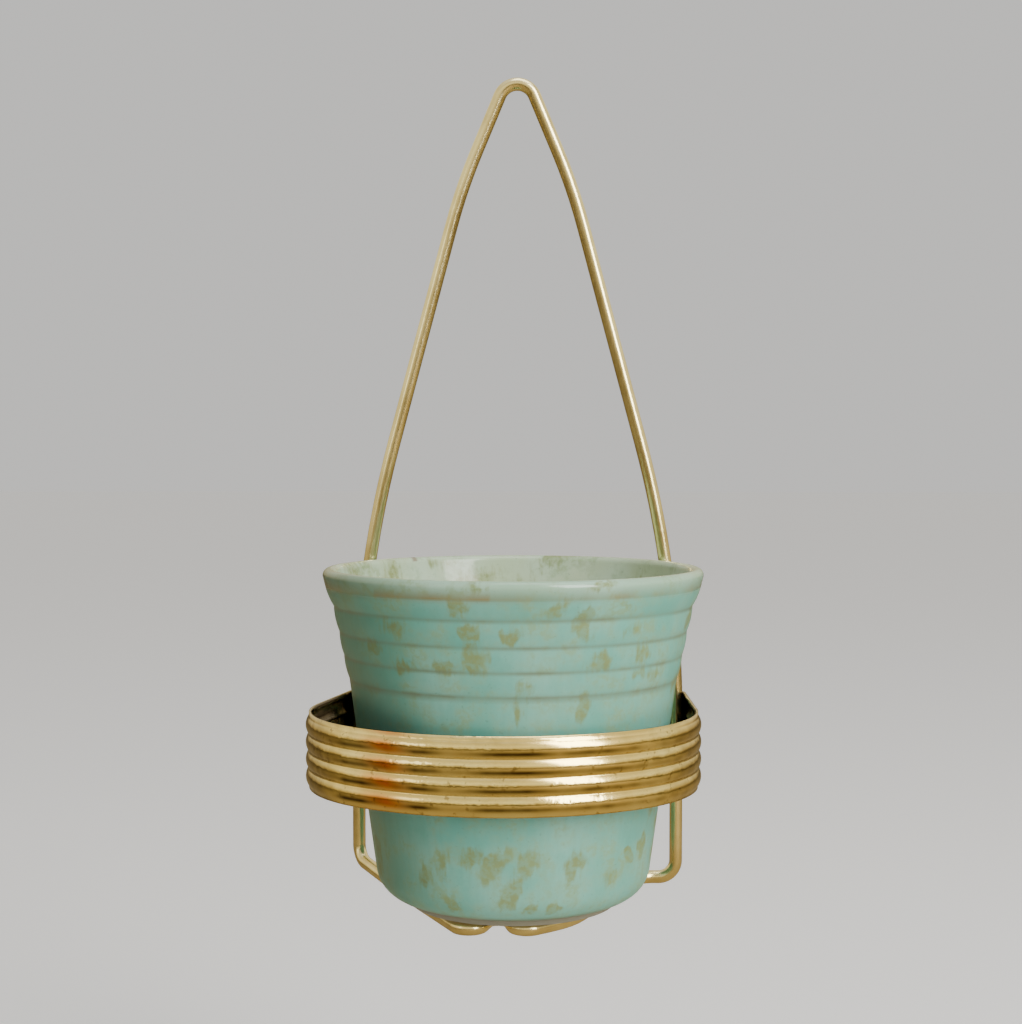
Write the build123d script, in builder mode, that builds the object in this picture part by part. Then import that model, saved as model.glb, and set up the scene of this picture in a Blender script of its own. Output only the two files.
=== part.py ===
"""Hanging planter: a glazed pot that stands in a bent wire hanger behind a ribbed metal strip.

Frame: origin at the hanging point, the underside of the hanger's top bend, where a nail bears.
+X is to the right seen from the room, +Y goes into the wall and +Z is up. Sizes are in millimetres.
"""

from build123d import *
from math import asin, atan2, cos, degrees, hypot, radians, sin, sqrt, tan
import os

# Pot, with heights above its foot
POT_H = 97.3
RIM_R = 55.1
LIP_T = 3.9
LIP_H = 4.8
LIP_FLARE = 0.7
RIB_HEIGHTS = (5.9, 7.3, 6.8, 6.7)
RIB_STEPS = (2.5, 1.6, 1.3, 1.5)
RIB_ROUND = 19.5
TAPER_ANGLE = 7.9
CORNER_R = 9.5
FOOT_H = 1.9
FOOT_INSET = 8.4
FOOT_WIDTH = 5.2
FOOT_CHAMFER = 0.4
RECESS_H = 1.1
WALL = 3.8
FLOOR = 5.5
FLOOR_FILLET = 8.0
WALL_FILLET = 60.0

# Where the pot stands in the hanger
HANG_DROP = 241.5
POT_SETBACK = 36.5
SEAT_GAP = 0.1
RIM_ROOM = 6.2

# Hanger wire, seen from the room
WIRE_D = 4.0
APEX_R = 5.8
APEX_ANGLE = 22.8
SHOULDER_DROP = 29.9
SHOULDER_R = 180.0
KNEE_RISE = 91.3
KNEE_R = 330.0
FOOT_BEND_R = 5.4

# Cradle, the part of the wire that runs under the pot, seen from above
LOBE_TUCK = 5.3
LOBE_SHIFT = -3.6
LOBE_SPACING = 16.3
LOBE_R = 4.0
DIP_ANGLE = 76.0
DIP_INNER_R = 0.5
LEFT_ARM_ANGLE = 64.0
LEFT_ARM_RUN = 45.0
LEFT_FOOT_RISE = 5.2
RIGHT_ARM_ANGLE = 41.0
RIGHT_ARM_RUN = 20.0
ARM_BEND_R = 30.0
FOOT_RUN = 12.0
FOOT_RUN_BEND_R = 8.0
END_RUN = 0.3
END_GAP = 0.4

# Ribbed strip: its place, its plan and its section
STRIP_RISE = 56.0
STRIP_GAP = 2.65
STRIP_BULGE = 7.0
STRIP_SHIFT = -2.8
FRONT_FLATTEN = 7.5
SIDE_TIGHTEN = 11.5
HOOK_WRAP = 190.0
HOOK_GAP = 0.12
STRIP_T = 0.7
TOP_LIP = 1.2
BOTTOM_LIP = 0.75
STRIP_RIBS = 4
STRIP_PITCH = 4.95
STRIP_RIB_DEPTH = 0.9

# Radii and places that follow from the sizes above
lip_under_r = RIM_R - LIP_FLARE
lip_under_h = POT_H - LIP_H
waist_r = lip_under_r - sum(RIB_STEPS)
waist_h = lip_under_h - sum(RIB_HEIGHTS)
taper = tan(radians(TAPER_ANGLE))
underside_r = waist_r - taper * (waist_h - FOOT_H)
foot_r = underside_r - FOOT_INSET
wire_r = WIRE_D / 2
dip_r = wire_r + DIP_INNER_R
leg_x = sqrt(RIM_R**2 - POT_SETBACK**2) + wire_r + RIM_ROOM
cradle_z = -HANG_DROP - wire_r
strip_h = TOP_LIP + STRIP_RIBS * STRIP_PITCH + BOTTOM_LIP
strip_z = -HANG_DROP + STRIP_RISE
strip_reach = POT_SETBACK + waist_r - taper * (waist_h - STRIP_RISE) + STRIP_GAP


def leg_corners(side, foot_rise=0):
    """Corners and bend radii of one leg, from its foot up to its shoulder."""
    shoulder_x = tan(radians(APEX_ANGLE)) * (apex_corner_z() + SHOULDER_DROP)
    return [
        ((side * leg_x, 0, cradle_z + foot_rise), FOOT_BEND_R),
        ((side * leg_x, 0, -HANG_DROP + KNEE_RISE), KNEE_R),
        ((side * shoulder_x, 0, -SHOULDER_DROP), SHOULDER_R),
    ]


def apex_corner_z():
    """Height at which the two slanting runs would meet if the top bend were sharp."""
    return wire_r + APEX_R * (1 / sin(radians(APEX_ANGLE)) - 1)


def cradle_corners(side, arm_angle, arm_run):
    """Corners and bend radii of one half of the cradle, from the wire's end to the bend in its arm."""
    arm, dip = radians(arm_angle), radians(DIP_ANGLE)
    lobe_y = LOBE_TUCK + LOBE_R - POT_SETBACK - foot_r
    # The arm and the dip's slope touch the lobe's circle and cross in front of it
    tip = LOBE_R / cos((arm + dip) / 2)
    lean = (arm - dip) / 2
    lobe = Vector(LOBE_SHIFT + side * (LOBE_SPACING / 2 + tip * sin(lean)), lobe_y - tip * cos(lean), cradle_z)
    bend = lobe + Vector(side * cos(arm), sin(arm)) * arm_run
    end = Vector(LOBE_SHIFT + side * END_GAP / 2, 0, cradle_z)
    dip_x = end.X + side * (END_RUN + dip_r * tan(dip / 2))
    dip_y = lobe.Y + side * (lobe.X - dip_x) * tan(dip)
    return [
        ((end.X, dip_y, cradle_z), 0),
        ((dip_x, dip_y, cradle_z), dip_r),
        (lobe, LOBE_R),
        (bend, ARM_BEND_R),
    ]


def make_hanger_wire():
    """One round wire: a cradle under the pot, two legs and the top bend that hangs on the nail."""
    right = cradle_corners(1, RIGHT_ARM_ANGLE, RIGHT_ARM_RUN)
    # On the right the wire first runs level along the wall before it turns in under the pot
    right += [((leg_x - FOOT_RUN, 0, cradle_z), FOOT_RUN_BEND_R)] + leg_corners(1)
    left = cradle_corners(-1, LEFT_ARM_ANGLE, LEFT_ARM_RUN) + leg_corners(-1, LEFT_FOOT_RISE)
    corners = right + [((0, 0, apex_corner_z()), APEX_R)] + left[::-1]
    with BuildPart() as hanger_wire:
        with BuildLine() as route:
            FilletPolyline(*[point for point, _ in corners], radius=[bend for _, bend in corners[1:-1]])
        with BuildSketch(Plane(route.line @ 0, z_dir=route.line % 0)):
            Circle(wire_r)
        sweep(path=route.line)
    hanger_wire.part.label = "hanger_wire"
    return hanger_wire


def strip_side(side):
    """Half of the strip's inner line in plan, from the middle of its front to the tip of its hook."""
    half_width = leg_x + STRIP_BULGE - STRIP_T
    front_r = half_width + FRONT_FLATTEN
    side_r = half_width - SIDE_TIGHTEN
    hook_r = wire_r + HOOK_GAP
    # The front arc hands over to the side arc where the side arc's far point is the half width
    front_turn = asin((half_width - side_r) / (front_r - side_r))
    side_x = side * STRIP_SHIFT + (front_r - side_r) * sin(front_turn)
    side_y = front_r - strip_reach - (front_r - side_r) * cos(front_turn)
    # A straight run touches the side arc and the hook round the leg
    apart = hypot(leg_x - side_x, side_y)
    heading = atan2(-side_y, leg_x - side_x) + asin((side_r - hook_r) / apart)
    run = sqrt(apart**2 - (side_r - hook_r) ** 2)
    front = JernArc((STRIP_SHIFT, -strip_reach, strip_z), (side, 0), front_r, side * degrees(front_turn))
    flank = JernArc(front @ 1, front % 1, side_r, side * degrees(heading - front_turn))
    straight = Line(flank @ 1, flank @ 1 + (flank % 1) * run)
    JernArc(straight @ 1, straight % 1, hook_r, side * HOOK_WRAP)


def strip_face(inset):
    """The strip's rib line in its section, with its top edge at zero and depth counted downwards."""
    depth = TOP_LIP
    Line((inset, 0), (inset, depth))
    for _ in range(STRIP_RIBS):
        middle = (inset + STRIP_RIB_DEPTH, depth + STRIP_PITCH / 2)
        ThreePointArc((inset, depth), middle, (inset, depth + STRIP_PITCH))
        depth += STRIP_PITCH
    Line((inset, depth), (inset, strip_h))


def make_ribbed_band():
    """A thin strip with four ribs, bent round the pot's front and hooked round both legs."""
    with BuildPart() as ribbed_band:
        with BuildLine() as route:
            strip_side(1)
            strip_side(-1)
        path = route.wire()
        start, along = path @ 0, path % 0
        across = Vector(along.Y, -along.X)
        with BuildSketch(Plane(start, x_dir=across, z_dir=along)):
            with BuildLine():
                strip_face(0)
                strip_face(STRIP_T)
                Line((0, 0), (STRIP_T, 0))
                Line((0, strip_h), (STRIP_T, strip_h))
            make_face()
        sweep(path=path)
    ribbed_band.part.label = "ribbed_band"
    return ribbed_band


def make_pot():
    """A thrown pot: foot ring, tapered body, four stepped ribs and a rounded lip, hollow inside."""
    stand = Plane((0, -POT_SETBACK, -HANG_DROP + SEAT_GAP), z_dir=(0, -1, 0), x_dir=(1, 0, 0))
    recess_r = foot_r - FOOT_WIDTH
    lip_round_h = POT_H - LIP_T / 2
    floor_r = waist_r - taper * (waist_h - FLOOR) - WALL
    with BuildPart() as pot:
        with BuildSketch(stand):
            with BuildLine():
                FilletPolyline(
                    (0, RECESS_H),
                    (recess_r, RECESS_H),
                    (recess_r, FOOT_CHAMFER),
                    (recess_r + FOOT_CHAMFER, 0),
                    (foot_r - FOOT_CHAMFER, 0),
                    (foot_r, FOOT_CHAMFER),
                    (foot_r, FOOT_H),
                    (underside_r, FOOT_H),
                    (waist_r, waist_h),
                    radius=[0, 0, 0, 0, 0, 0, CORNER_R],
                )
                crease_r, crease_h = lip_under_r, lip_under_h
                for step, height in zip(RIB_STEPS, RIB_HEIGHTS):
                    RadiusArc((crease_r, crease_h), (crease_r - step, crease_h - height), RIB_ROUND)
                    crease_r -= step
                    crease_h -= height
                Line((lip_under_r, lip_under_h), (RIM_R, lip_round_h))
                ThreePointArc((RIM_R, lip_round_h), (RIM_R - LIP_T / 2, POT_H), (RIM_R - LIP_T, lip_round_h))
                FilletPolyline(
                    (RIM_R - LIP_T, lip_round_h),
                    (waist_r - WALL, waist_h),
                    (floor_r, FLOOR),
                    (0, FLOOR),
                    radius=[WALL_FILLET, FLOOR_FILLET],
                )
                Line((0, FLOOR), (0, RECESS_H))
            make_face()
        revolve(axis=Axis((0, -POT_SETBACK, 0), (0, 0, 1)))
    pot.part.label = "pot"
    return pot


hanger_wire = make_hanger_wire()
ribbed_band = make_ribbed_band()
pot = make_pot()

os.makedirs("parts", exist_ok=True)
export_step(hanger_wire.part, "parts/hanger_wire.step")
export_step(ribbed_band.part, "parts/ribbed_band.step")
export_step(pot.part, "parts/pot.step")

for piece in (hanger_wire, ribbed_band, pot):
    box = piece.part.bounding_box()
    print(piece.part.label, len(piece.part.solids()), box.min, box.max)
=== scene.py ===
# %% [markdown]
# # A hanging planter
# A small glazed pot stands loose in a bent gold wire hanger. A thin ribbed metal strip runs round
# the pot's front and hooks round the two legs of the wire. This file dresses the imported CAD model:
# it loads the solids, sets up a camera and soft light, and then makes each piece and its finish.

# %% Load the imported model
from itertools import accumulate
from math import asin, atan2, ceil, cos, degrees, exp, hypot, pi, radians, sin, sqrt, tan
from operator import sub
from random import Random

import bmesh
import bpy
from mathutils import Matrix, Vector, noise


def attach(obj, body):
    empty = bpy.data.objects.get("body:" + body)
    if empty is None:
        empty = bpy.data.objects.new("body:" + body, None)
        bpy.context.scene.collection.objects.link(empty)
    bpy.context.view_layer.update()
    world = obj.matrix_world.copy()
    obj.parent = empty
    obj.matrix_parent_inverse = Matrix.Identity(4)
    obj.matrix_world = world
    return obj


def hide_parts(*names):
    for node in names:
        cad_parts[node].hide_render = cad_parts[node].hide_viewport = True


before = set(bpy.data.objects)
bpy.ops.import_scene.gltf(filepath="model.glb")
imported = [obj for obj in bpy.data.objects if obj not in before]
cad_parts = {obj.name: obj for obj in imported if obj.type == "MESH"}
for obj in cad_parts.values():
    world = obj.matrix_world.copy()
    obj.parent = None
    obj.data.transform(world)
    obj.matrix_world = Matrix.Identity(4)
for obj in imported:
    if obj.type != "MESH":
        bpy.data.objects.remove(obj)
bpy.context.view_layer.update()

# %% [markdown]
# ## Camera
# The picture was taken from a little over half a metre away. The camera stood slightly higher than
# the pot's lip and slightly to the right, and looked down by a little more than two degrees. A
# lens of 63 mm on a 36 mm frame gives the same mild perspective, in which the near side of the
# strip looks wider than the far side.

# %% Place the camera
MM = 0.001
LENS = 63.3
FILM_WIDTH = 36.0
CAMERA_AT = (17.6 * MM, -558.2 * MM, -106.8 * MM)
CAMERA_PITCH = radians(2.34)
CAMERA_TURN = radians(2.0)

camera_data = bpy.data.cameras.new("camera")
camera_data.lens = LENS
camera_data.sensor_width = FILM_WIDTH
camera = bpy.data.objects.new("camera", camera_data)
camera.location = CAMERA_AT
camera.rotation_euler = (pi / 2 - CAMERA_PITCH, 0, CAMERA_TURN)
bpy.context.scene.collection.objects.link(camera)
bpy.context.scene.camera = camera
print("camera stands", round(-CAMERA_AT[1], 3), "m in front of the hanging point")

# %% [markdown]
# ## Node helpers
# Every finish here is a small tree of shader nodes. One helper adds a node and the other fills in
# its sockets, by name or by number, with plain values or with links to another node's output.
# Numbers are needed where a node has several sockets of the same name.

# %% Helpers for shader nodes
def find_socket(node, name):
    if name[0] == "i" and name[1:].isdigit():
        return node.inputs[int(name[1:])]
    return node.inputs[name.replace("_", " ")]


def fill(tree, node, **inputs):
    for name, value in inputs.items():
        socket = find_socket(node, name)
        if isinstance(value, bpy.types.NodeSocket):
            tree.links.new(value, socket)
        else:
            socket.default_value = value


def add_node(tree, kind, settings=None, **inputs):
    made = tree.nodes.new(kind)
    for name, value in (settings or {}).items():
        setattr(made, name, value)
    fill(tree, made, **inputs)
    return made

# %% [markdown]
# ## Floor
# The planter floats above one large pale square. Metal only looks like metal when it has something
# bright and something dark to mirror, so mirrored rays are given a floor of their own, warm and
# dark. Rays from the camera see the pale one, lifted a little so that it meets the air behind it
# without a line. The Light Path node tells the two kinds of ray apart.

# %% Make the floor
FLOOR_Z = -0.36
FLOOR_HALF_WIDTH = 8.0

floor_mesh = bmesh.new()
bmesh.ops.create_grid(floor_mesh, x_segments=1, y_segments=1, size=FLOOR_HALF_WIDTH)
bmesh.ops.translate(floor_mesh, verts=floor_mesh.verts, vec=(0, 0, FLOOR_Z))
floor_data = bpy.data.meshes.new("floor")
floor_mesh.to_mesh(floor_data)
floor_mesh.free()
floor = bpy.data.objects.new("floor", floor_data)
bpy.context.scene.collection.objects.link(floor)
print("floor lies", -FLOOR_Z, "m under the hanging point")

# %% Paint the floor
PALE_GREY = (0.70, 0.69, 0.67, 1)
PALER_GREY = (0.74, 0.73, 0.71, 1)
MIRRORED_BROWN = (0.40, 0.31, 0.16, 1)
LAMP_WHITE = (1.0, 0.985, 0.96)
FLOOR_LIFT = 0.42

floor_paint = bpy.data.materials.new("pale_floor")
floor_paint.use_nodes = True
tree = floor_paint.node_tree
speck = add_node(tree, "ShaderNodeTexNoise", Scale=6.0, Detail=3.0)
floor_tone = add_node(tree, "ShaderNodeMix", {"data_type": "RGBA"}, i0=speck.outputs["Fac"],
                      i6=PALE_GREY, i7=PALER_GREY)
path = add_node(tree, "ShaderNodeLightPath")
lift = add_node(tree, "ShaderNodeMath", {"operation": "MULTIPLY"}, i0=path.outputs["Is Camera Ray"],
                i1=FLOOR_LIFT)
shader = tree.nodes["Principled BSDF"]
fill(tree, shader, Base_Color=floor_tone.outputs["Result"], Roughness=0.9,
     Emission_Color=(*LAMP_WHITE, 1), Emission_Strength=lift.outputs[0])
mirrored = add_node(tree, "ShaderNodeBsdfDiffuse", Color=MIRRORED_BROWN)
either = add_node(tree, "ShaderNodeMixShader", i0=path.outputs["Is Glossy Ray"],
                  i1=shader.outputs[0], i2=mirrored.outputs[0])
fill(tree, tree.nodes["Material Output"], Surface=either.outputs[0])
floor_data.materials.append(floor_paint)
print("floor paint has", len(tree.nodes), "nodes")

# %% [markdown]
# ## Lamps
# One tall soft lamp stands at the right front and draws the long highlights on the glaze and the
# wire. A weak cool lamp at the left and a broad one overhead keep the shadows open. Each lamp is
# turned to face the pot by the direction between the two.

# %% Place the lamps
POT_MIDDLE = Vector((0.0, -0.04, -0.18))


def add_lamp(name, at, width, height, power, colour):
    data = bpy.data.lights.new(name, "AREA")
    data.shape = "RECTANGLE"
    data.size, data.size_y = width, height
    data.energy = power
    data.color = colour
    lamp = bpy.data.objects.new(name, data)
    lamp.location = at
    lamp.rotation_euler = (POT_MIDDLE - Vector(at)).to_track_quat("-Z", "Y").to_euler()
    bpy.context.scene.collection.objects.link(lamp)
    print(name, "lamp gives", power, "W")


add_lamp("key", at=(0.78, -0.92, 0.50), width=0.5, height=1.1, power=22.0, colour=LAMP_WHITE)
add_lamp("fill", at=(-0.95, -0.9, 0.2), width=0.35, height=0.35, power=0.5, colour=(0.95, 0.97, 1.0))
add_lamp("top", at=(0.2, -0.1, 1.1), width=0.8, height=0.8, power=6.0, colour=(1.0, 0.99, 0.97))

# %% [markdown]
# ## Air
# The air is a plain pale grey to the camera and a weaker grey as a source of light. Mirrored rays
# see bands instead, brown at the horizon, brightest a third of the way up and darker above, and
# these give the gold its contrast. A colour ramp on the ray's upward share holds the bands.

# %% Make the air
AIR_LIGHT_GREY = (0.62, 0.61, 0.60, 1)
AIR_LIGHT_POWER = 0.5
MIRRORED_BANDS = [
    (0.0, (0.34, 0.26, 0.13, 1)),
    (0.10, (0.72, 0.60, 0.34, 1)),
    (0.32, (1.15, 1.06, 0.74, 1)),
    (0.70, (0.80, 0.70, 0.48, 1)),
]

world = bpy.data.worlds.new("studio_air")
world.use_nodes = True
bpy.context.scene.world = world
tree = world.node_tree
seen = add_node(tree, "ShaderNodeBackground", Color=PALE_GREY, Strength=1.0)
lit = add_node(tree, "ShaderNodeBackground", Color=AIR_LIGHT_GREY, Strength=AIR_LIGHT_POWER)
way = add_node(tree, "ShaderNodeTexCoord")
way_parts = add_node(tree, "ShaderNodeSeparateXYZ", Vector=way.outputs["Generated"])
bands = add_node(tree, "ShaderNodeValToRGB", Fac=way_parts.outputs["Z"])
stops = bands.color_ramp.elements
for upward, colour in MIRRORED_BANDS:
    stop = stops.new(upward) if upward else stops[0]
    stop.color = colour
mirrored = add_node(tree, "ShaderNodeBackground", Color=bands.outputs["Color"], Strength=1.0)
path = add_node(tree, "ShaderNodeLightPath")
unseen = add_node(tree, "ShaderNodeMixShader", i0=path.outputs["Is Glossy Ray"],
                  i1=lit.outputs[0], i2=mirrored.outputs[0])
either = add_node(tree, "ShaderNodeMixShader", i0=path.outputs["Is Camera Ray"],
                  i1=unseen.outputs[0], i2=seen.outputs[0])
fill(tree, tree.nodes["World Output"], Surface=either.outputs[0])
print("mirrored air has", len(MIRRORED_BANDS), "bands")

# %% [markdown]
# ## Sizes
# The pieces below are finer copies of the CAD solids, so they start from the same numbers, in
# millimetres. Heights on the pot are counted up from its foot, and the creases between its ribs
# are counted down from the lip. The hanger's sizes follow from where the pot stands in it.

# %% Sizes of the pot
POT_H = 97.3
RIM_R = 55.1
LIP_T = 3.9
LIP_H = 4.8
LIP_FLARE = 0.7
RIB_HEIGHTS = (5.9, 7.3, 6.8, 6.7)
RIB_STEPS = (2.5, 1.6, 1.3, 1.5)
TAPER_ANGLE = radians(7.9)
WALL = 3.8
FOOT_H = 1.9
FOOT_INSET = 8.4

crease_r = list(accumulate(RIB_STEPS, sub, initial=RIM_R - LIP_FLARE))
crease_h = list(accumulate(RIB_HEIGHTS, sub, initial=POT_H - LIP_H))
waist_r, waist_h = crease_r[-1], crease_h[-1]
lip_round_h = POT_H - LIP_T / 2
taper = tan(TAPER_ANGLE)


def wall_r(h, share):
    # The radius at a height, where share goes from 0 on the outside to 1 on the inside
    waist, lip = waist_r - WALL * share, RIM_R - LIP_T * share
    if h < waist_h:
        return waist - taper * (waist_h - h)
    return waist + (lip - waist) * (h - waist_h) / (lip_round_h - waist_h)


underside_r = wall_r(FOOT_H, 0)
foot_r = underside_r - FOOT_INSET
print("the pot narrows from", RIM_R, "mm at its rim to", round(underside_r, 2), "mm at its foot")

# %% Sizes of the hanger
HANG_DROP = 241.5
POT_SETBACK = 36.5
SEAT_GAP = 0.1
WIRE_R = 2.0
RIM_ROOM = 6.2

leg_x = sqrt(RIM_R**2 - POT_SETBACK**2) + WIRE_R + RIM_ROOM
cradle_z = -HANG_DROP - WIRE_R
print("legs are", round(2 * leg_x, 2), "mm apart")

# %% [markdown]
# ## Feed and bend
# A wire bender makes a hanger with two moves: it feeds a straight length, then bends the wire
# round a pin. The mesh is made with the same two moves. The section is a face, extruding it feeds
# it, and spinning it round a centre bends it. The ribbed strip is made in the same way. A Bezier
# curve with a bevel would be quicker, but its bends only come near true arcs.

# %% Helpers that feed and bend a section
def drop_old_section(bm, section, is_first):
    # The first section closes the piece's end, and later ones would be walls inside the metal
    if not is_first:
        bmesh.ops.delete(bm, geom=section, context="FACES")


def feed(bm, section, move):
    is_first = len(bm.faces) == len(section)
    made = bmesh.ops.extrude_face_region(bm, geom=section)["geom"]
    bmesh.ops.translate(bm, verts=[e for e in made if isinstance(e, bmesh.types.BMVert)], vec=move)
    drop_old_section(bm, section, is_first)
    return [e for e in made if isinstance(e, bmesh.types.BMFace)]


def bend(bm, section, centre, axis, angle, step):
    steps = max(2, ceil(abs(angle) / step))
    is_first = len(bm.faces) == len(section)
    made = bmesh.ops.spin(bm, geom=section, cent=centre, axis=axis, angle=angle, steps=steps)
    drop_old_section(bm, section, is_first)
    return [e for e in made["geom_last"] if isinstance(e, bmesh.types.BMFace)]

# %% [markdown]
# ## Finishing a piece
# Every piece ends in the same way. Doubled points are merged and the faces turned outwards, and
# only then are the millimetres made metres. The new object stays at the origin with its place in
# its mesh, rides on one body of the CAD model and stands for one of its solids.

# %% Helper that finishes a piece
MERGE_DISTANCE = 0.002


def finish_piece(bm, name, body, node, material):
    bmesh.ops.remove_doubles(bm, verts=bm.verts, dist=MERGE_DISTANCE)
    bmesh.ops.recalc_face_normals(bm, faces=bm.faces)
    bmesh.ops.scale(bm, verts=bm.verts, vec=(MM, MM, MM))
    data = bpy.data.meshes.new(name)
    bm.to_mesh(data)
    bm.free()
    data.polygons.foreach_set("use_smooth", [True] * len(data.polygons))
    data.materials.append(material)
    piece = bpy.data.objects.new(name, data)
    bpy.context.scene.collection.objects.link(piece)
    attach(piece, body)
    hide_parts(node)
    print(name, "has", len(data.polygons), "faces")

# %% [markdown]
# ## Shared wear
# Three small node groups are used by more than one finish. The first gives soft patches with a
# chosen edge, the second gives fine lines drawn along the Z direction, and the third turns a
# pattern into shallow relief. Each takes the piece's own coordinates, so it stays on the piece.

# %% Node groups for wear
FLOAT, VECTOR = "NodeSocketFloat", "NodeSocketVector"
DRAWN_OUT = (1.0, 1.0, 0.12)


def new_group(name, ins, outs):
    made = bpy.data.node_groups.new(name, "ShaderNodeTree")
    for label, kind, value in ins:
        socket = made.interface.new_socket(label, in_out="INPUT", socket_type=kind)
        if value is not None:
            socket.default_value = value
    for label, kind in outs:
        made.interface.new_socket(label, in_out="OUTPUT", socket_type=kind)
    return made, made.nodes.new("NodeGroupInput").outputs, made.nodes.new("NodeGroupOutput")


patch_group, taken, given = new_group(
    "patches", [("Vector", VECTOR, None), ("Scale", FLOAT, 60.0), ("Low", FLOAT, 0.4), ("High", FLOAT, 0.6)],
    [("Mask", FLOAT)])
cloud = add_node(patch_group, "ShaderNodeTexNoise", Vector=taken["Vector"], Scale=taken["Scale"],
                 Detail=5.0, Roughness=0.6)
edge = add_node(patch_group, "ShaderNodeMapRange", {"interpolation_type": "SMOOTHSTEP"},
                Value=cloud.outputs["Fac"], From_Min=taken["Low"], From_Max=taken["High"])
fill(patch_group, given, Mask=edge.outputs[0])

streak_group, taken, given = new_group(
    "streaks", [("Vector", VECTOR, None), ("Scale", FLOAT, 900.0)], [("Mask", FLOAT)])
longer = add_node(streak_group, "ShaderNodeMapping", Vector=taken["Vector"], Scale=DRAWN_OUT)
lines = add_node(streak_group, "ShaderNodeTexNoise", Vector=longer.outputs[0], Scale=taken["Scale"],
                 Detail=3.0)
fill(streak_group, given, Mask=lines.outputs["Fac"])

relief_group, taken, given = new_group(
    "relief", [("Height", FLOAT, 0.0), ("Depth", FLOAT, 0.0001), ("Strength", FLOAT, 0.2)],
    [("Normal", VECTOR)])
push = add_node(relief_group, "ShaderNodeBump", Height=taken["Height"], Distance=taken["Depth"],
                Strength=taken["Strength"])
fill(relief_group, given, Normal=push.outputs[0])
print("wear groups:", ", ".join(group.name for group in bpy.data.node_groups))

# %% [markdown]
# ## Coats of colour
# A finish is easiest to read as coats laid one over another, as they are on the real piece. Each
# coat is a mask and a colour. A mask comes from a wear group, from an attribute that the mesh
# carries, or from the two multiplied together.

# %% Helpers that lay coats
def new_finish(name):
    made = bpy.data.materials.new(name)
    made.use_nodes = True
    tree = made.node_tree
    place = add_node(tree, "ShaderNodeTexCoord").outputs["Object"]
    return made, tree, tree.nodes["Principled BSDF"], place


def use_group(tree, group, **inputs):
    return add_node(tree, "ShaderNodeGroup", {"node_tree": group}, **inputs).outputs[0]


def read_mask(tree, name):
    return add_node(tree, "ShaderNodeAttribute", {"attribute_name": name}).outputs["Fac"]


def times(tree, first, second, plus=0.0):
    made = add_node(tree, "ShaderNodeMath", {"operation": "MULTIPLY_ADD"}, i0=first, i1=second, i2=plus)
    return made.outputs[0]


def stretch(tree, value, low, high):
    return add_node(tree, "ShaderNodeMapRange", Value=value, To_Min=low, To_Max=high).outputs[0]


def blend(tree, mask, under, over):
    made = add_node(tree, "ShaderNodeMix", {"data_type": "RGBA"}, i0=mask, i6=under, i7=over)
    return made.outputs["Result"]


def lay_coats(tree, tone, coats):
    for mask, colour in coats:
        tone = blend(tree, mask, tone, colour)
    return tone

# %% [markdown]
# ## Wire finish
# The wire is satin and pale, with fine lines along it from the die that it was drawn through, and
# duller patches where hands have held it. The lines also roughen it and give it a slight relief,
# so its highlight breaks up instead of running as one clean stripe.

# %% Wire finish
PALE_GOLD = (0.95, 0.83, 0.42, 1)
HANDLED_GOLD = (0.72, 0.60, 0.26, 1)
DRAWN_GOLD = (0.98, 0.86, 0.56, 1)

wire_gold, tree, shader, place = new_finish("wire_gold")
drawn = use_group(tree, streak_group, Vector=place, Scale=2400.0)
handled = use_group(tree, patch_group, Vector=place, Scale=85.0, Low=0.38, High=0.72)
tone = lay_coats(tree, PALE_GOLD, [
    (handled, HANDLED_GOLD),
    (times(tree, drawn, 0.3), DRAWN_GOLD),
])
fill(tree, shader, Base_Color=tone, Metallic=1.0, Roughness=stretch(tree, drawn, low=0.16, high=0.30),
     Normal=use_group(tree, relief_group, Height=drawn, Depth=0.00008, Strength=0.18))
print("wire finish has", len(tree.nodes), "nodes")

# %% [markdown]
# ## Strip finish
# The strip is the same metal, polished, so it mirrors what is round it. A dark reflection is painted low on
# each rib, with a painted orange reflection at one place and painted shade towards the ends. The inner face
# carries painted shade. The mesh carries these marks as attributes, because they follow the strip's own
# section and length.

# %% Strip finish
BRIGHT_GOLD = (0.99, 0.84, 0.36, 1)
DEEP_GOLD = (0.95, 0.74, 0.27, 1)
# Painted orange reflection
REFLECTED_ORANGE = (0.85, 0.22, 0.03, 1)
# Painted shade towards the strip's ends
END_SHADE_BROWN = (0.40, 0.30, 0.11, 1)
# Painted dark reflection low on each rib
DARK_REFLECTION_BROWN = (0.045, 0.020, 0.006, 1)
SPOT_BROWN = (0.16, 0.09, 0.03, 1)
# Painted shade on the strip's inner face
INNER_SHADE_BROWN = (0.050, 0.030, 0.014, 1)

strip_gold, tree, shader, place = new_finish("strip_gold")
browned = use_group(tree, patch_group, Vector=place, Scale=42.0, Low=0.30, High=0.62)
spots = use_group(tree, patch_group, Vector=place, Scale=420.0, Low=0.60, High=0.68)
tone = lay_coats(tree, BRIGHT_GOLD, [
    (browned, DEEP_GOLD),
    # painted orange reflection
    (read_mask(tree, "orange_reflection"), REFLECTED_ORANGE),
    # painted shade towards the ends
    (read_mask(tree, "end_shade"), END_SHADE_BROWN),
    # painted dark reflection low on each rib
    (times(tree, read_mask(tree, "rib_dark_reflection"), times(tree, browned, 0.25, plus=0.75)), DARK_REFLECTION_BROWN),
    (times(tree, spots, 0.5), SPOT_BROWN),
    # painted shade on the inner face
    (read_mask(tree, "inner_shade"), INNER_SHADE_BROWN),
])
fill(tree, shader, Base_Color=tone, Metallic=1.0, Roughness=stretch(tree, browned, low=0.07, high=0.17),
     Normal=use_group(tree, relief_group, Height=browned, Depth=0.0006, Strength=0.35))
print("strip finish has", len(tree.nodes), "nodes")
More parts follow.
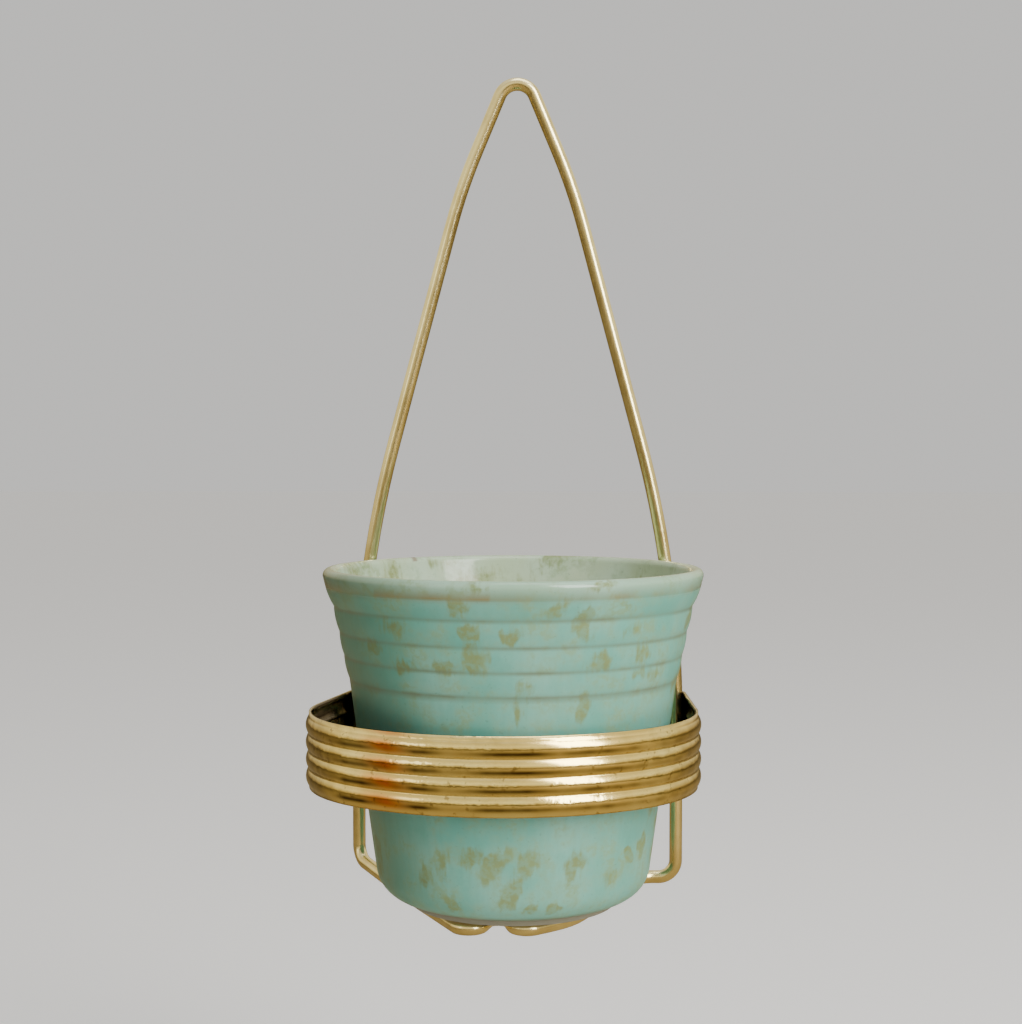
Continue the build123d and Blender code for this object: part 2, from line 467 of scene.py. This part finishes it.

# %% [markdown]
# ## Glaze finish
# The glaze is built up in coats, in order: the sea-green ground, a paler inside, olive dabs, painted shade
# on the left side, painted shade in the creases, a brown line under the lip, painted shade at the bottom
# edge and bare clay on the foot, darkened with painted shade. Each coat reads a mask that the pot's mesh
# carries, broken up by the shared groups.

# %% Glaze colours
SEA_GREEN = (0.13, 0.46, 0.37, 1)
LIGHT_SEA_GREEN = (0.25, 0.57, 0.46, 1)
BRUSHED_GREEN = (0.16, 0.37, 0.24, 1)
INSIDE_OLIVE = (0.46, 0.58, 0.38, 1)
INSIDE_GREEN = (0.52, 0.68, 0.53, 1)
DAB_OLIVE = (0.235, 0.27, 0.085, 1)
MOTTLE_OLIVE = (0.25, 0.36, 0.16, 1)
# Painted shade on the pot's left side
SHADED_GREEN = (0.085, 0.14, 0.06, 1)
# Painted shade in the creases
CREASE_SHADE_GREEN = (0.16, 0.20, 0.12, 1)
LIP_BROWN = (0.26, 0.20, 0.085, 1)
FLECK_GREEN = (0.10, 0.20, 0.13, 1)
# Painted shade at the pot's bottom edge
BOTTOM_SHADE_GREEN = (0.12, 0.15, 0.09, 1)
# Bare clay, darkened with painted shade
BARE_CLAY_IN_SHADE = (0.27, 0.25, 0.17, 1)

# %% Glaze patterns
glaze, tree, shader, place = new_finish("glaze")
brushed = use_group(tree, streak_group, Vector=place, Scale=700.0)
clouds = use_group(tree, patch_group, Vector=place, Scale=60.0, Low=0.3, High=0.7)
mottle = use_group(tree, patch_group, Vector=place, Scale=120.0, Low=0.42, High=0.66)
speckle = use_group(tree, patch_group, Vector=place, Scale=520.0, Low=0.40, High=0.60)
flecks = use_group(tree, patch_group, Vector=place, Scale=1300.0, Low=0.62, High=0.70)
ragged = times(tree, brushed, 0.9, plus=read_mask(tree, "dabs"))
torn = add_node(tree, "ShaderNodeMapRange", {"interpolation_type": "SMOOTHSTEP"}, Value=ragged,
                From_Min=0.62, From_Max=1.06, To_Max=0.82).outputs[0]
bare = read_mask(tree, "bare")
print("glaze patterns take", len(tree.nodes), "nodes")

# %% Glaze coats
tone = lay_coats(tree, SEA_GREEN, [
    (clouds, LIGHT_SEA_GREEN),
    (times(tree, brushed, 0.45), BRUSHED_GREEN),
    (read_mask(tree, "inside"), blend(tree, clouds, INSIDE_OLIVE, INSIDE_GREEN)),
    (times(tree, torn, times(tree, speckle, 0.45, plus=0.6)), DAB_OLIVE),
    (times(tree, mottle, times(tree, speckle, 0.42, plus=0.18)), MOTTLE_OLIVE),
    # painted shade on the left side
    (read_mask(tree, "shaded"), SHADED_GREEN),
    # painted shade in the creases
    (times(tree, read_mask(tree, "crease_shade"), times(tree, clouds, 0.5, plus=0.4)), CREASE_SHADE_GREEN),
    (read_mask(tree, "lip_line"), LIP_BROWN),
    (times(tree, flecks, 0.35), FLECK_GREEN),
    # painted shade at the bottom edge
    (read_mask(tree, "bottom_shade"), BOTTOM_SHADE_GREEN),
    # bare clay, darkened with painted shade
    (bare, BARE_CLAY_IN_SHADE),
])
shine = stretch(tree, read_mask(tree, "glossy"), low=0.34, high=0.14)
fill(tree, shader, Base_Color=tone, Roughness=times(tree, bare, 0.5, plus=shine),
     Normal=use_group(tree, relief_group, Height=brushed, Depth=0.00012, Strength=0.2))
print("glaze finish has", len(tree.nodes), "nodes")

# %% [markdown]
# ## Hanger wire
# The hanger is one length of round wire. It starts under the pot's front, makes a small loop there,
# runs back under the pot to one leg, climbs to the top bend, and comes down the other side in the
# same way. Each corner has its own bend radius, so the route is a list of corners and radii.

# %% Corners of the legs
APEX_R = 5.8
APEX_ANGLE = radians(22.8)
SHOULDER_DROP = 29.9
SHOULDER_R = 180.0
KNEE_RISE = 91.3
KNEE_R = 330.0
FOOT_BEND_R = 5.4
LEFT_FOOT_RISE = 5.2

apex_z = WIRE_R + APEX_R * (1 / sin(APEX_ANGLE) - 1)
shoulder_x = tan(APEX_ANGLE) * (apex_z + SHOULDER_DROP)
top_bend = (Vector((0, 0, apex_z)), APEX_R)


def leg_corners(side, foot_rise):
    return [
        (Vector((side * leg_x, 0, cradle_z + foot_rise)), FOOT_BEND_R),
        (Vector((side * leg_x, 0, -HANG_DROP + KNEE_RISE)), KNEE_R),
        (Vector((side * shoulder_x, 0, -SHOULDER_DROP)), SHOULDER_R),
    ]


right_leg = leg_corners(1, 0.0)
left_leg = leg_corners(-1, LEFT_FOOT_RISE)
print("a sharp top bend would stand", round(apex_z, 2), "mm above the hanging point")

# %% [markdown]
# ## Cradle
# Seen from above, the wire under the pot makes two loops with a narrow dip between them, and its
# two ends meet in the dip. An arm leaves each loop for its leg. The arms are unlike, because the
# cradle was bent by hand: the right leg first turns level towards the left, and then forward.

# %% Corners of the cradle
LOBE_TUCK = 5.3
LOBE_SHIFT = -3.6
LOBE_SPACING = 16.3
LOBE_R = 4.0
DIP_ANGLE = radians(76.0)
DIP_INNER_R = 0.5
END_RUN = 0.3
END_GAP = 0.4
LEFT_ARM_ANGLE = radians(64.0)
LEFT_ARM_RUN = 45.0
RIGHT_ARM_ANGLE = radians(41.0)
RIGHT_ARM_RUN = 20.0
ARM_BEND_R = 30.0
FOOT_RUN = 12.0
FOOT_RUN_BEND_R = 8.0

dip_r = WIRE_R + DIP_INNER_R
lobe_y = LOBE_TUCK + LOBE_R - POT_SETBACK - foot_r


def cradle_corners(side, arm, arm_run):
    # The arm and the dip's slope touch the lobe's circle and cross in front of it
    tip, lean = LOBE_R / cos((arm + DIP_ANGLE) / 2), (arm - DIP_ANGLE) / 2
    lobe_x = LOBE_SHIFT + side * (LOBE_SPACING / 2 + tip * sin(lean))
    lobe = Vector((lobe_x, lobe_y - tip * cos(lean), cradle_z))
    arm_end = lobe + Vector((side * cos(arm), sin(arm), 0)) * arm_run
    end_x = LOBE_SHIFT + side * END_GAP / 2
    dip_x = end_x + side * (END_RUN + dip_r * tan(DIP_ANGLE / 2))
    dip_y = lobe.y + side * (lobe.x - dip_x) * tan(DIP_ANGLE)
    return [
        (Vector((end_x, dip_y, cradle_z)), 0.0),
        (Vector((dip_x, dip_y, cradle_z)), dip_r),
        (lobe, LOBE_R),
        (arm_end, ARM_BEND_R),
    ]


right_turn = (Vector((leg_x - FOOT_RUN, 0, cradle_z)), FOOT_RUN_BEND_R)
wire_route = cradle_corners(1, RIGHT_ARM_ANGLE, RIGHT_ARM_RUN) + [right_turn] + right_leg + [top_bend]
wire_route += left_leg[::-1] + cradle_corners(-1, LEFT_ARM_ANGLE, LEFT_ARM_RUN)[::-1]
print("the wire has", len(wire_route) - 2, "bends")

# %% [markdown]
# ## Bending the wire
# The section is a disc set square to the first straight run. From there the wire is fed up to
# where each bend starts, and then bent round that bend's centre. The wide bends of the legs take
# short steps, so that they show no corners close up.

# %% Feed and bend the wire
WIRE_SIDES = 28
WIRE_STEP_ANGLE = radians(7)
WIRE_STEP_LENGTH = 5.0

bm = bmesh.new()
spot = wire_route[0][0]
heading = (wire_route[1][0] - spot).normalized()
square_on = Vector((0, 0, 1)).rotation_difference(heading).to_matrix()
bmesh.ops.create_circle(bm, cap_ends=True, radius=WIRE_R, segments=WIRE_SIDES)
bmesh.ops.rotate(bm, verts=bm.verts, cent=(0, 0, 0), matrix=square_on)
bmesh.ops.translate(bm, verts=bm.verts, vec=spot)
section = list(bm.faces)
for (before, _), (corner, radius), (after, _) in zip(wire_route, wire_route[1:], wire_route[2:]):
    into, out = (corner - before).normalized(), (after - corner).normalized()
    turn, axis = into.angle(out), into.cross(out).normalized()
    start = corner - into * radius * tan(turn / 2)
    step = min(WIRE_STEP_ANGLE, WIRE_STEP_LENGTH / radius)
    section = feed(bm, section, start - spot)
    section = bend(bm, section, start + axis.cross(into) * radius, axis, turn, step)
    spot = corner + out * radius * tan(turn / 2)
section = feed(bm, section, wire_route[-1][0] - spot)
finish_piece(bm, "bent_wire", "holder", "hanger_wire", wire_gold)

# %% [markdown]
# ## Ribbed strip
# Seen from above, the strip hooks round the left leg, runs along the side, sweeps round the pot's
# front in three arcs and hooks round the right leg. The front arc is flatter than the side arcs,
# and the whole sits a little left of the middle, as it was bent by hand. A straight run joins each
# side arc to its hook, and touches both.

# %% Route of the strip
STRIP_T = 0.7
STRIP_RISE = 56.0
STRIP_GAP = 2.65
STRIP_BULGE = 7.0
STRIP_SHIFT = -2.8
FRONT_FLATTEN = 7.5
SIDE_TIGHTEN = 11.5
HOOK_GAP = 0.12
HOOK_WRAP = radians(190.0)

hook_r = WIRE_R + HOOK_GAP
strip_top = -HANG_DROP + STRIP_RISE
strip_reach = POT_SETBACK + wall_r(STRIP_RISE, 0) + STRIP_GAP
half_width = leg_x + STRIP_BULGE - STRIP_T
front_r, side_r = half_width + FRONT_FLATTEN, half_width - SIDE_TIGHTEN
front_turn = asin((half_width - side_r) / (front_r - side_r))
front_centre = Vector((STRIP_SHIFT, front_r - strip_reach, 0))


def strip_side(side):
    out, back = (front_r - side_r) * sin(front_turn), (front_r - side_r) * cos(front_turn)
    centre = Vector((STRIP_SHIFT + side * out, front_centre.y - back, 0))
    gap_x = leg_x - side * centre.x
    apart = hypot(gap_x, centre.y)
    aim = atan2(-centre.y, gap_x) + asin((side_r - hook_r) / apart)
    return centre, aim, sqrt(apart**2 - (side_r - hook_r) ** 2)


left_centre, left_aim, left_run = strip_side(-1)
right_centre, right_aim, right_run = strip_side(1)
print("straight runs are", round(left_run, 1), "mm on the left and", round(right_run, 1), "mm on the right")

# %% [markdown]
# ## Section of the strip
# The section is a thin band with a flat lip at the top and bottom and four shallow ribs between
# them. Each rib is drawn by spinning one point round the rib's centre. Extruding the finished line
# sideways gives the band its thickness.

# %% Draw the strip's section
TOP_LIP = 1.2
BOTTOM_LIP = 0.75
STRIP_RIBS = 4
STRIP_PITCH = 4.95
STRIP_RIB_DEPTH = 0.9
STRIP_RIB_FACETS = 14

half_pitch = STRIP_PITCH / 2
rib_radius = (STRIP_RIB_DEPTH**2 + half_pitch**2) / (2 * STRIP_RIB_DEPTH)
rib_turn = 2 * asin(half_pitch / rib_radius)


def only_verts(geometry):
    return [e for e in geometry if isinstance(e, bmesh.types.BMVert)]


def line_by(bm, last, move):
    made = bmesh.ops.extrude_vert_indiv(bm, verts=[last])["verts"]
    bmesh.ops.translate(bm, verts=made, vec=move)
    return made[0]


def arc_to(bm, last, centre, turn, steps):
    middle = (centre[0], 0, centre[1])
    made = bmesh.ops.spin(bm, geom=[last], cent=middle, axis=(0, 1, 0), angle=turn, steps=steps)
    return only_verts(made["geom_last"])[0]


bm = bmesh.new()
# Layers for painted shade on the inner face and a painted dark reflection low on each rib
inner_shade_mark, rib_reflection_mark = bm.verts.layers.float.new("inner_shade"), bm.verts.layers.float.new("rib_dark_reflection")
last = line_by(bm, bm.verts.new((hook_r, 0, strip_top)), (0, 0, -TOP_LIP))
for _ in range(STRIP_RIBS):
    rib_middle = (hook_r + STRIP_RIB_DEPTH - rib_radius, last.co.z - half_pitch)
    last = arc_to(bm, last, rib_middle, rib_turn, STRIP_RIB_FACETS)
last = line_by(bm, last, (0, 0, -BOTTOM_LIP))
outer_verts = only_verts(bmesh.ops.extrude_edge_only(bm, edges=list(bm.edges))["geom"])
bmesh.ops.translate(bm, verts=outer_verts, vec=(STRIP_T, 0, 0))
print("the section has", len(bm.faces), "faces")

# %% [markdown]
# ## Marks on the section
# Two marks belong to the section, so they are written before it is bent: painted shade on its inner face and
# a painted dark reflection on the low side of each rib. Feeding and bending copy the marks along the whole
# strip with the points that carry them.

# %% Mark the painted shade on the inner face and the painted dark reflection low on each rib
LOW_SIDE = 0.70
LOW_SIDE_SPREAD = 0.15


def near(value, middle, spread):
    # 1 at the middle, falling softly to 0 on both sides
    return exp(-(((value - middle) / spread) ** 2))


def ribs_down(vert):
    return (strip_top - TOP_LIP - vert.co.z) / STRIP_PITCH


for vert in bm.verts:
    down = ribs_down(vert)
    vert[inner_shade_mark] = float(vert not in outer_verts)
    vert[rib_reflection_mark] = near(down % 1, LOW_SIDE, LOW_SIDE_SPREAD) if 0 < down < STRIP_RIBS else 0.0
print(sum(vert[rib_reflection_mark] > 0.5 for vert in bm.verts), "points of the section lie low on a rib")

# %% [markdown]
# ## Bending the strip
# The section starts at the tip of the left hook. Five bends and two straight runs then take it
# round the left leg, past the pot's front and round the right leg, with a finer step on the wide
# arcs than on the tight hooks.

# %% Bend the strip round the pot and the legs
HOOK_STEP = radians(8)
SWEEP_STEP = radians(2.5)
UP = (0, 0, 1)

left_leg_at, right_leg_at = Vector((-leg_x, 0, 0)), Vector((leg_x, 0, 0))
first_turn = Matrix.Rotation(1.5 * pi - left_aim - HOOK_WRAP, 3, "Z")
bmesh.ops.rotate(bm, verts=bm.verts, cent=(0, 0, 0), matrix=first_turn)
bmesh.ops.translate(bm, verts=bm.verts, vec=left_leg_at)
section = bend(bm, list(bm.faces), left_leg_at, UP, HOOK_WRAP, HOOK_STEP)
section = feed(bm, section, Vector((cos(left_aim), -sin(left_aim), 0)) * left_run)
section = bend(bm, section, left_centre, UP, left_aim - front_turn, SWEEP_STEP)
section = bend(bm, section, front_centre, UP, 2 * front_turn, SWEEP_STEP)
section = bend(bm, section, right_centre, UP, right_aim - front_turn, SWEEP_STEP)
section = feed(bm, section, Vector((cos(right_aim), sin(right_aim), 0)) * right_run)
section = bend(bm, section, right_leg_at, UP, HOOK_WRAP, HOOK_STEP)
print("the bent strip has", len(bm.verts), "points")

# %% [markdown]
# ## Painted reflections and shade along the strip
# The painted dark reflection low on the ribs is not even along the strip. It is strongest in a few streaks,
# each with its place, half width and strength, and between them it is faint. Painted shade darkens the ends
# near the legs, and one painted orange reflection leans across the ribs at the left. Only the strip's front
# is marked.

# %% Mark the painted reflections and shade along the strip
MARKED_BEFORE_Y = -20
# Streaks of painted dark reflection: place, half width and strength
DARK_REFLECTION_STREAKS = [(0, 9, 1.0), (-42, 4, 1.4), (-23, 5, 0.7), (24, 12, 0.35)]
# Painted shade at the ends near the legs, stronger on the left
SHADED_ENDS = [(-56, 9, 0.75), (50, 8, 0.5)]
# Place, width, lean and height of the painted orange reflection
ORANGE_REFLECTION_X, ORANGE_REFLECTION_WIDTH, ORANGE_REFLECTION_LEAN = -33.5, 5.0, 5
ORANGE_REFLECTION_DOWN, ORANGE_REFLECTION_HEIGHT = 0.55, 0.36
RIPPLES_PER_MM = 0.35
DARK_REFLECTION_BASE, DARK_REFLECTION_GAIN, DARK_REFLECTION_RIPPLE = 0.28, 1.1, 0.3
END_SHADE_RIPPLE = 0.35


def clamp(value):
    return min(1.0, max(0.0, value))


def marks_at(x, marks):
    return sum(strength * near(x, middle, spread) for middle, spread, strength in marks)


# Layers for the painted orange reflection and the painted shade towards the ends
orange_reflection_mark, end_shade_mark = bm.verts.layers.float.new("orange_reflection"), bm.verts.layers.float.new("end_shade")
for vert in bm.verts:
    if vert.co.y < MARKED_BEFORE_Y and not vert[inner_shade_mark]:
        x, ripple = vert.co.x, noise.noise(vert.co * RIPPLES_PER_MM)
        down = ribs_down(vert) % 1
        orange_reflection_at = ORANGE_REFLECTION_X + ORANGE_REFLECTION_LEAN * (down - 0.5)
        vert[orange_reflection_mark] = near(x, orange_reflection_at, ORANGE_REFLECTION_WIDTH) * near(down, ORANGE_REFLECTION_DOWN, ORANGE_REFLECTION_HEIGHT)
        # Painted dark reflection, strongest in the streaks
        dark_reflection_here = DARK_REFLECTION_GAIN * marks_at(x, DARK_REFLECTION_STREAKS)
        vert[rib_reflection_mark] *= clamp(DARK_REFLECTION_BASE + dark_reflection_here + DARK_REFLECTION_RIPPLE * ripple)
        # Painted shade towards the ends
        vert[end_shade_mark] = clamp(marks_at(x, SHADED_ENDS) + END_SHADE_RIPPLE * ripple)
finish_piece(bm, "ribbed_strip", "holder", "ribbed_band", strip_gold)

# %% [markdown]
# ## Pot
# The pot was turned on a wheel, so its whole shape is one line spun round an axis. The line goes
# from the middle of the foot, up the tapered side, over four stepped ribs and the rounded lip, and
# down the inside to the floor. A line to a point, an arc round a centre and an arc that bulges
# between two points are enough to draw it.

# %% Helpers that draw the pot's line
def line_to(bm, last, r, h):
    return line_by(bm, last, Vector((r, 0, h)) - last.co)


def rib_to(bm, last, r, h, radius, steps):
    start, end = Vector((last.co.x, last.co.z)), Vector((r, h))
    chord = end - start
    half = asin(chord.length / 2 / radius)
    inward = Vector((-chord.y, chord.x)).normalized() * radius * cos(half)
    return arc_to(bm, last, start + chord / 2 + inward, -2 * half, steps)

# %% [markdown]
# ## Outside of the pot
# The foot is a low ring with chamfered edges round a shallow recess. A generous corner leads up
# into the tapered side, and four ribs step out to the lip, each a shallow arc between two creases.
# The side is straight, but it gets a point every millimetre, because the masks need points to sit
# on.

# %% Draw the outside
FOOT_WIDTH = 5.2
FOOT_CHAMFER = 0.4
RECESS_CHAMFER = 0.3
RECESS_H = 1.1
CORNER_R = 9.5
RIB_ROUND = 19.5
RIB_FACETS = 8
ROUND_FACETS = 12
SIDE_HEIGHTS = range(12, 65)

recess_r = foot_r - FOOT_WIDTH
corner_turn = pi / 2 - TAPER_ANGLE
corner_start_r = underside_r - CORNER_R * tan(corner_turn / 2)
foot_line = [
    (recess_r, RECESS_H),
    (recess_r, RECESS_CHAMFER),
    (recess_r + FOOT_CHAMFER, 0),
    (foot_r - FOOT_CHAMFER, 0),
    (foot_r, FOOT_CHAMFER),
    (foot_r, FOOT_H),
    (corner_start_r, FOOT_H),
]

bm = bmesh.new()
last = bm.verts.new((0, 0, RECESS_H))
for r, h in foot_line:
    last = line_to(bm, last, r, h)
last = arc_to(bm, last, (corner_start_r, FOOT_H + CORNER_R), -corner_turn, ROUND_FACETS)
for h in SIDE_HEIGHTS:
    last = line_to(bm, last, wall_r(h, 0), h)
last = line_to(bm, last, waist_r, waist_h)
for r, h in list(zip(crease_r, crease_h))[-2::-1]:
    last = rib_to(bm, last, r, h, RIB_ROUND, RIB_FACETS)
print("the outside has", len(bm.verts), "points")

# %% [markdown]
# ## Inside of the pot
# The lip is a half round as thick as the wall there. The inside then follows the outside at the
# wall's thickness, without the ribs, and turns into the flat floor over a short curve.

# %% Draw the inside and spin the line
FLOOR = 5.5
INSIDE_HEIGHTS = (*range(90, 68, -3), *range(62, 14, -4), 13)
FLOOR_CURVE = [(0.6, 3.1), (2.8, 1.1), (7.0, 0.0)]
SPIN_STEPS = 360

lip_middle_r = RIM_R - LIP_T / 2
floor_r = wall_r(FLOOR, 1)
last = line_to(bm, last, RIM_R, lip_round_h)
last = arc_to(bm, last, (lip_middle_r, lip_round_h), -pi, ROUND_FACETS)
for h in INSIDE_HEIGHTS:
    last = line_to(bm, last, wall_r(h, 1), h)
for inward, above_floor in FLOOR_CURVE:
    last = line_to(bm, last, floor_r - inward, FLOOR + above_floor)
last = line_to(bm, last, 0, FLOOR)
print("the pot's line has", len(bm.verts), "points")
bmesh.ops.spin(bm, geom=list(bm.verts) + list(bm.edges), cent=(0, 0, 0), axis=UP, angle=2 * pi,
               steps=SPIN_STEPS, use_merge=True)

# %% [markdown]
# ## Masks that follow the wheel
# The masks are numbers from 0 to 1 kept on the pot's points. The first ones follow the wheel, so they depend
# on height and on whether a point is inside. Painted shade darkens the creases and the bottom edge, the
# glaze turns brown under the lip, and the foot was wiped clean before firing. A nick on the back of the rim
# shows bare clay too.

# %% Write the masks that follow the wheel
MASKS = ("dabs", "inside", "crease_shade", "lip_line", "bottom_shade", "bare", "glossy", "shaded")
GLOSSY_FROM = 92.0
PALE_FROM, PALE_RISE, PALE_MOST = 93.2, 2.0, 0.6
# Width of the painted shade in each crease
CREASE_WIDTH = 0.55
LIP_LINE_H, LIP_LINE_WIDTH = 92.6, 0.8
DARK_LIP_ANGLES = (-42, -5)
LIP_BROWN_BASE, LIP_BROWN_SWING, LIP_BROWN_EXTRA = 0.55, 0.45, 0.3
LIP_NOISE_PER_MM = 0.12
# Height, width and strength of the painted shade at the bottom edge
BOTTOM_SHADE_H, BOTTOM_SHADE_WIDTH, BOTTOM_SHADE_MOST = 2.5, 0.8, 0.8
NICK_ANGLE, NICK_HALF_WIDTH, NICK_FROM = -141.5, 1.2, 96
BARE_MARGIN_R, BARE_MARGIN_H = 0.1, 0.05
FLOOR_MARGIN = 0.5


def place_on_pot(vert):
    # The angle is 0 at the front and grows to the right
    return degrees(atan2(vert.co.x, -vert.co.y)), hypot(vert.co.x, vert.co.y), vert.co.z


def is_inside(r, h):
    return h > FLOOR - FLOOR_MARGIN and r < wall_r(h, 0.5) and r < lip_middle_r


def is_bare(angle, r, h):
    nicked = abs(angle - NICK_ANGLE) < NICK_HALF_WIDTH and h > NICK_FROM and r > RIM_R - LIP_T
    return nicked or (r < foot_r + BARE_MARGIN_R and h < FOOT_H + BARE_MARGIN_H)


masks = {name: bm.verts.layers.float.new(name) for name in MASKS}
for vert in bm.verts:
    angle, r, h = place_on_pot(vert)
    inside = is_inside(r, h)
    vert[masks["inside"]] = max(float(inside), min(PALE_MOST, clamp((h - PALE_FROM) / PALE_RISE)))
    vert[masks["glossy"]] = float(inside or h > GLOSSY_FROM)
    vert[masks["bare"]] = float(is_bare(angle, r, h))
    if not inside:
        brown = LIP_BROWN_BASE + LIP_BROWN_SWING * noise.noise(vert.co * LIP_NOISE_PER_MM)
        if DARK_LIP_ANGLES[0] < angle < DARK_LIP_ANGLES[1]:
            brown += LIP_BROWN_EXTRA
        vert[masks["lip_line"]] = brown * near(h, LIP_LINE_H, LIP_LINE_WIDTH)
        # Painted shade in the creases
        vert[masks["crease_shade"]] = max(near(h, crease, CREASE_WIDTH) for crease in crease_h[1:])
        # Painted shade at the bottom edge
        vert[masks["bottom_shade"]] = BOTTOM_SHADE_MOST * near(h, BOTTOM_SHADE_H, BOTTOM_SHADE_WIDTH)
print(sum(vert[masks["inside"]] == 1 for vert in bm.verts), "points of the pot lie inside")

# %% [markdown]
# ## Dabs of the brush
# The olive dabs are soft ovals listed one by one, each with its angle round the pot, its height, its half
# width and half height in millimetres and its lean. The back was not in the picture, so seeded dabs of the
# same kind go on there. A noise texture alone would give patches of the right size, but not in the right
# places.

# %% Place the dabs
FRONT_DABS = [
    (-36, 83.7, 4, 3, 0), (-47, 78, 3, 2.5, 0), (-14, 90.2, 3, 2.5, 0), (-10, 76.4, 3, 4.2, 0),
    (-20, 73.6, 3, 2.5, 0), (-35, 73, 4, 2.5, 0), (-11.5, 83, 2.5, 2.5, 0), (1, 82.2, 3, 2, 0),
    (14, 89.7, 3, 2.4, 0), (23, 85.9, 2.4, 4.5, 0), (36, 90.6, 2.5, 1.6, 0), (41, 83.7, 3, 2, 0),
    (30, 74.7, 4, 2.5, 0), (47, 76, 3, 3, 0), (46, 70.6, 4, 1.8, 0), (55, 70, 4, 2, 0),
    (7, 68.9, 3, 2.4, 0), (25, 62, 2, 4, 0), (4, 62.3, 1.6, 4, 0), (-26, 19.6, 2.6, 4.6, 0),
    (-14, 21, 3, 3, 0.4), (-6, 18.8, 3.2, 4.6, 0.9), (-24, 8, 2.6, 3, 0), (-35, 14, 2.2, 3, 0),
    (8, 19.7, 2.5, 3, 0), (1.5, 12, 2.6, 5, 0.9), (26, 18.6, 2.8, 4.6, 0.3), (44, 13, 2.4, 2.6, 0),
    (18, 6, 2, 1.6, 0), (7.6, 6.5, 2, 1.6, 0.6), (54, 19, 2.4, 2, 0), (27, 95.5, 5, 1.2, 0),
    (-8, 95.8, 3, 1, 0),
]
BACK_DAB_COUNT = 60
BACK_DAB_RANGES = [(64, 296), (8, 92), (2, 4), (2, 4.5), (0, 0.9)]

seeded = Random(7)
back_dabs = [[seeded.uniform(low, high) for low, high in BACK_DAB_RANGES] for _ in range(BACK_DAB_COUNT)]
print(len(FRONT_DABS), "dabs in front and", len(back_dabs), "round the back")

# %% [markdown]
# ## Brush marks and painted shade
# A dab fades from its middle, and a slow noise shifts its outline, so that no oval shows. The vector noise
# takes its seed from the clock unless it is given one, so it is given one, and the pot looks the same on
# every run. Another noise makes some dabs fainter than others. The inside has only soft clouds. The pot's
# left side gets painted shade, a darker green, which comes in slowly from the front and goes out slowly
# towards the back.

# %% Write the brush marks and the painted shade
DAB_REACH = 1.6
DAB_FADE = 0.62
DRIFT, DRIFT_NOISE_PER_MM, DRIFT_SEED = 2.2, 0.28, 7
FAINT_BASE, FAINT_SWING, FAINT_NOISE_PER_MM = 0.9, 0.45, 0.07
INSIDE_CLOUDS, INSIDE_NOISE_PER_MM = 1.2, 0.09
# Where the painted shade on the left side comes in and goes out
SHADE_STARTS, SHADE_FULL_AFTER = -24, 34
SHADE_ENDS, SHADE_FADES_OVER = -125, 45
SHADE_MOST = 0.6


def dab_strength(angle, r, h):
    best = 0.0
    for at, height, wide, tall, lean in [*FRONT_DABS, *back_dabs]:
        up = (h - height) / tall
        if abs(up) < DAB_REACH:
            across = radians((angle - at + 180) % 360 - 180) * r / wide - lean * up
            best = max(best, 1 - hypot(across, up) * DAB_FADE)
    return best


noise.seed_set(DRIFT_SEED)
for vert in bm.verts:
    angle, r, h = place_on_pot(vert)
    if is_inside(r, h):
        vert[masks["dabs"]] = max(0.0, noise.noise(vert.co * INSIDE_NOISE_PER_MM) * INSIDE_CLOUDS)
        continue
    r = max(r, 1.0)
    drift = noise.noise_vector(vert.co * DRIFT_NOISE_PER_MM) * DRIFT
    faint = FAINT_BASE + FAINT_SWING * noise.noise(vert.co * FAINT_NOISE_PER_MM)
    vert[masks["dabs"]] = faint * dab_strength(angle + degrees(drift.x / r), r, h + drift.y)
    # Painted shade on the left side
    shade_in, shade_out = (SHADE_STARTS - angle) / SHADE_FULL_AFTER, (angle - SHADE_ENDS) / SHADE_FADES_OVER
    vert[masks["shaded"]] = SHADE_MOST * clamp(min(shade_in, shade_out))
print(sum(vert[masks["dabs"]] > 0.5 for vert in bm.verts), "points of the pot lie under a dab")

# %% [markdown]
# ## Standing the pot
# The line was drawn round the pot's own axis, where the spin and the masks are simplest. The
# finished pot now goes to its place in the hanger, a hair above the cradle, on a body of its own,
# because it can be lifted out.

# %% Stand the pot in the hanger
bmesh.ops.translate(bm, verts=bm.verts, vec=(0, -POT_SETBACK, -HANG_DROP + SEAT_GAP))
finish_piece(bm, "thrown_pot", "pot", "pot", glaze)
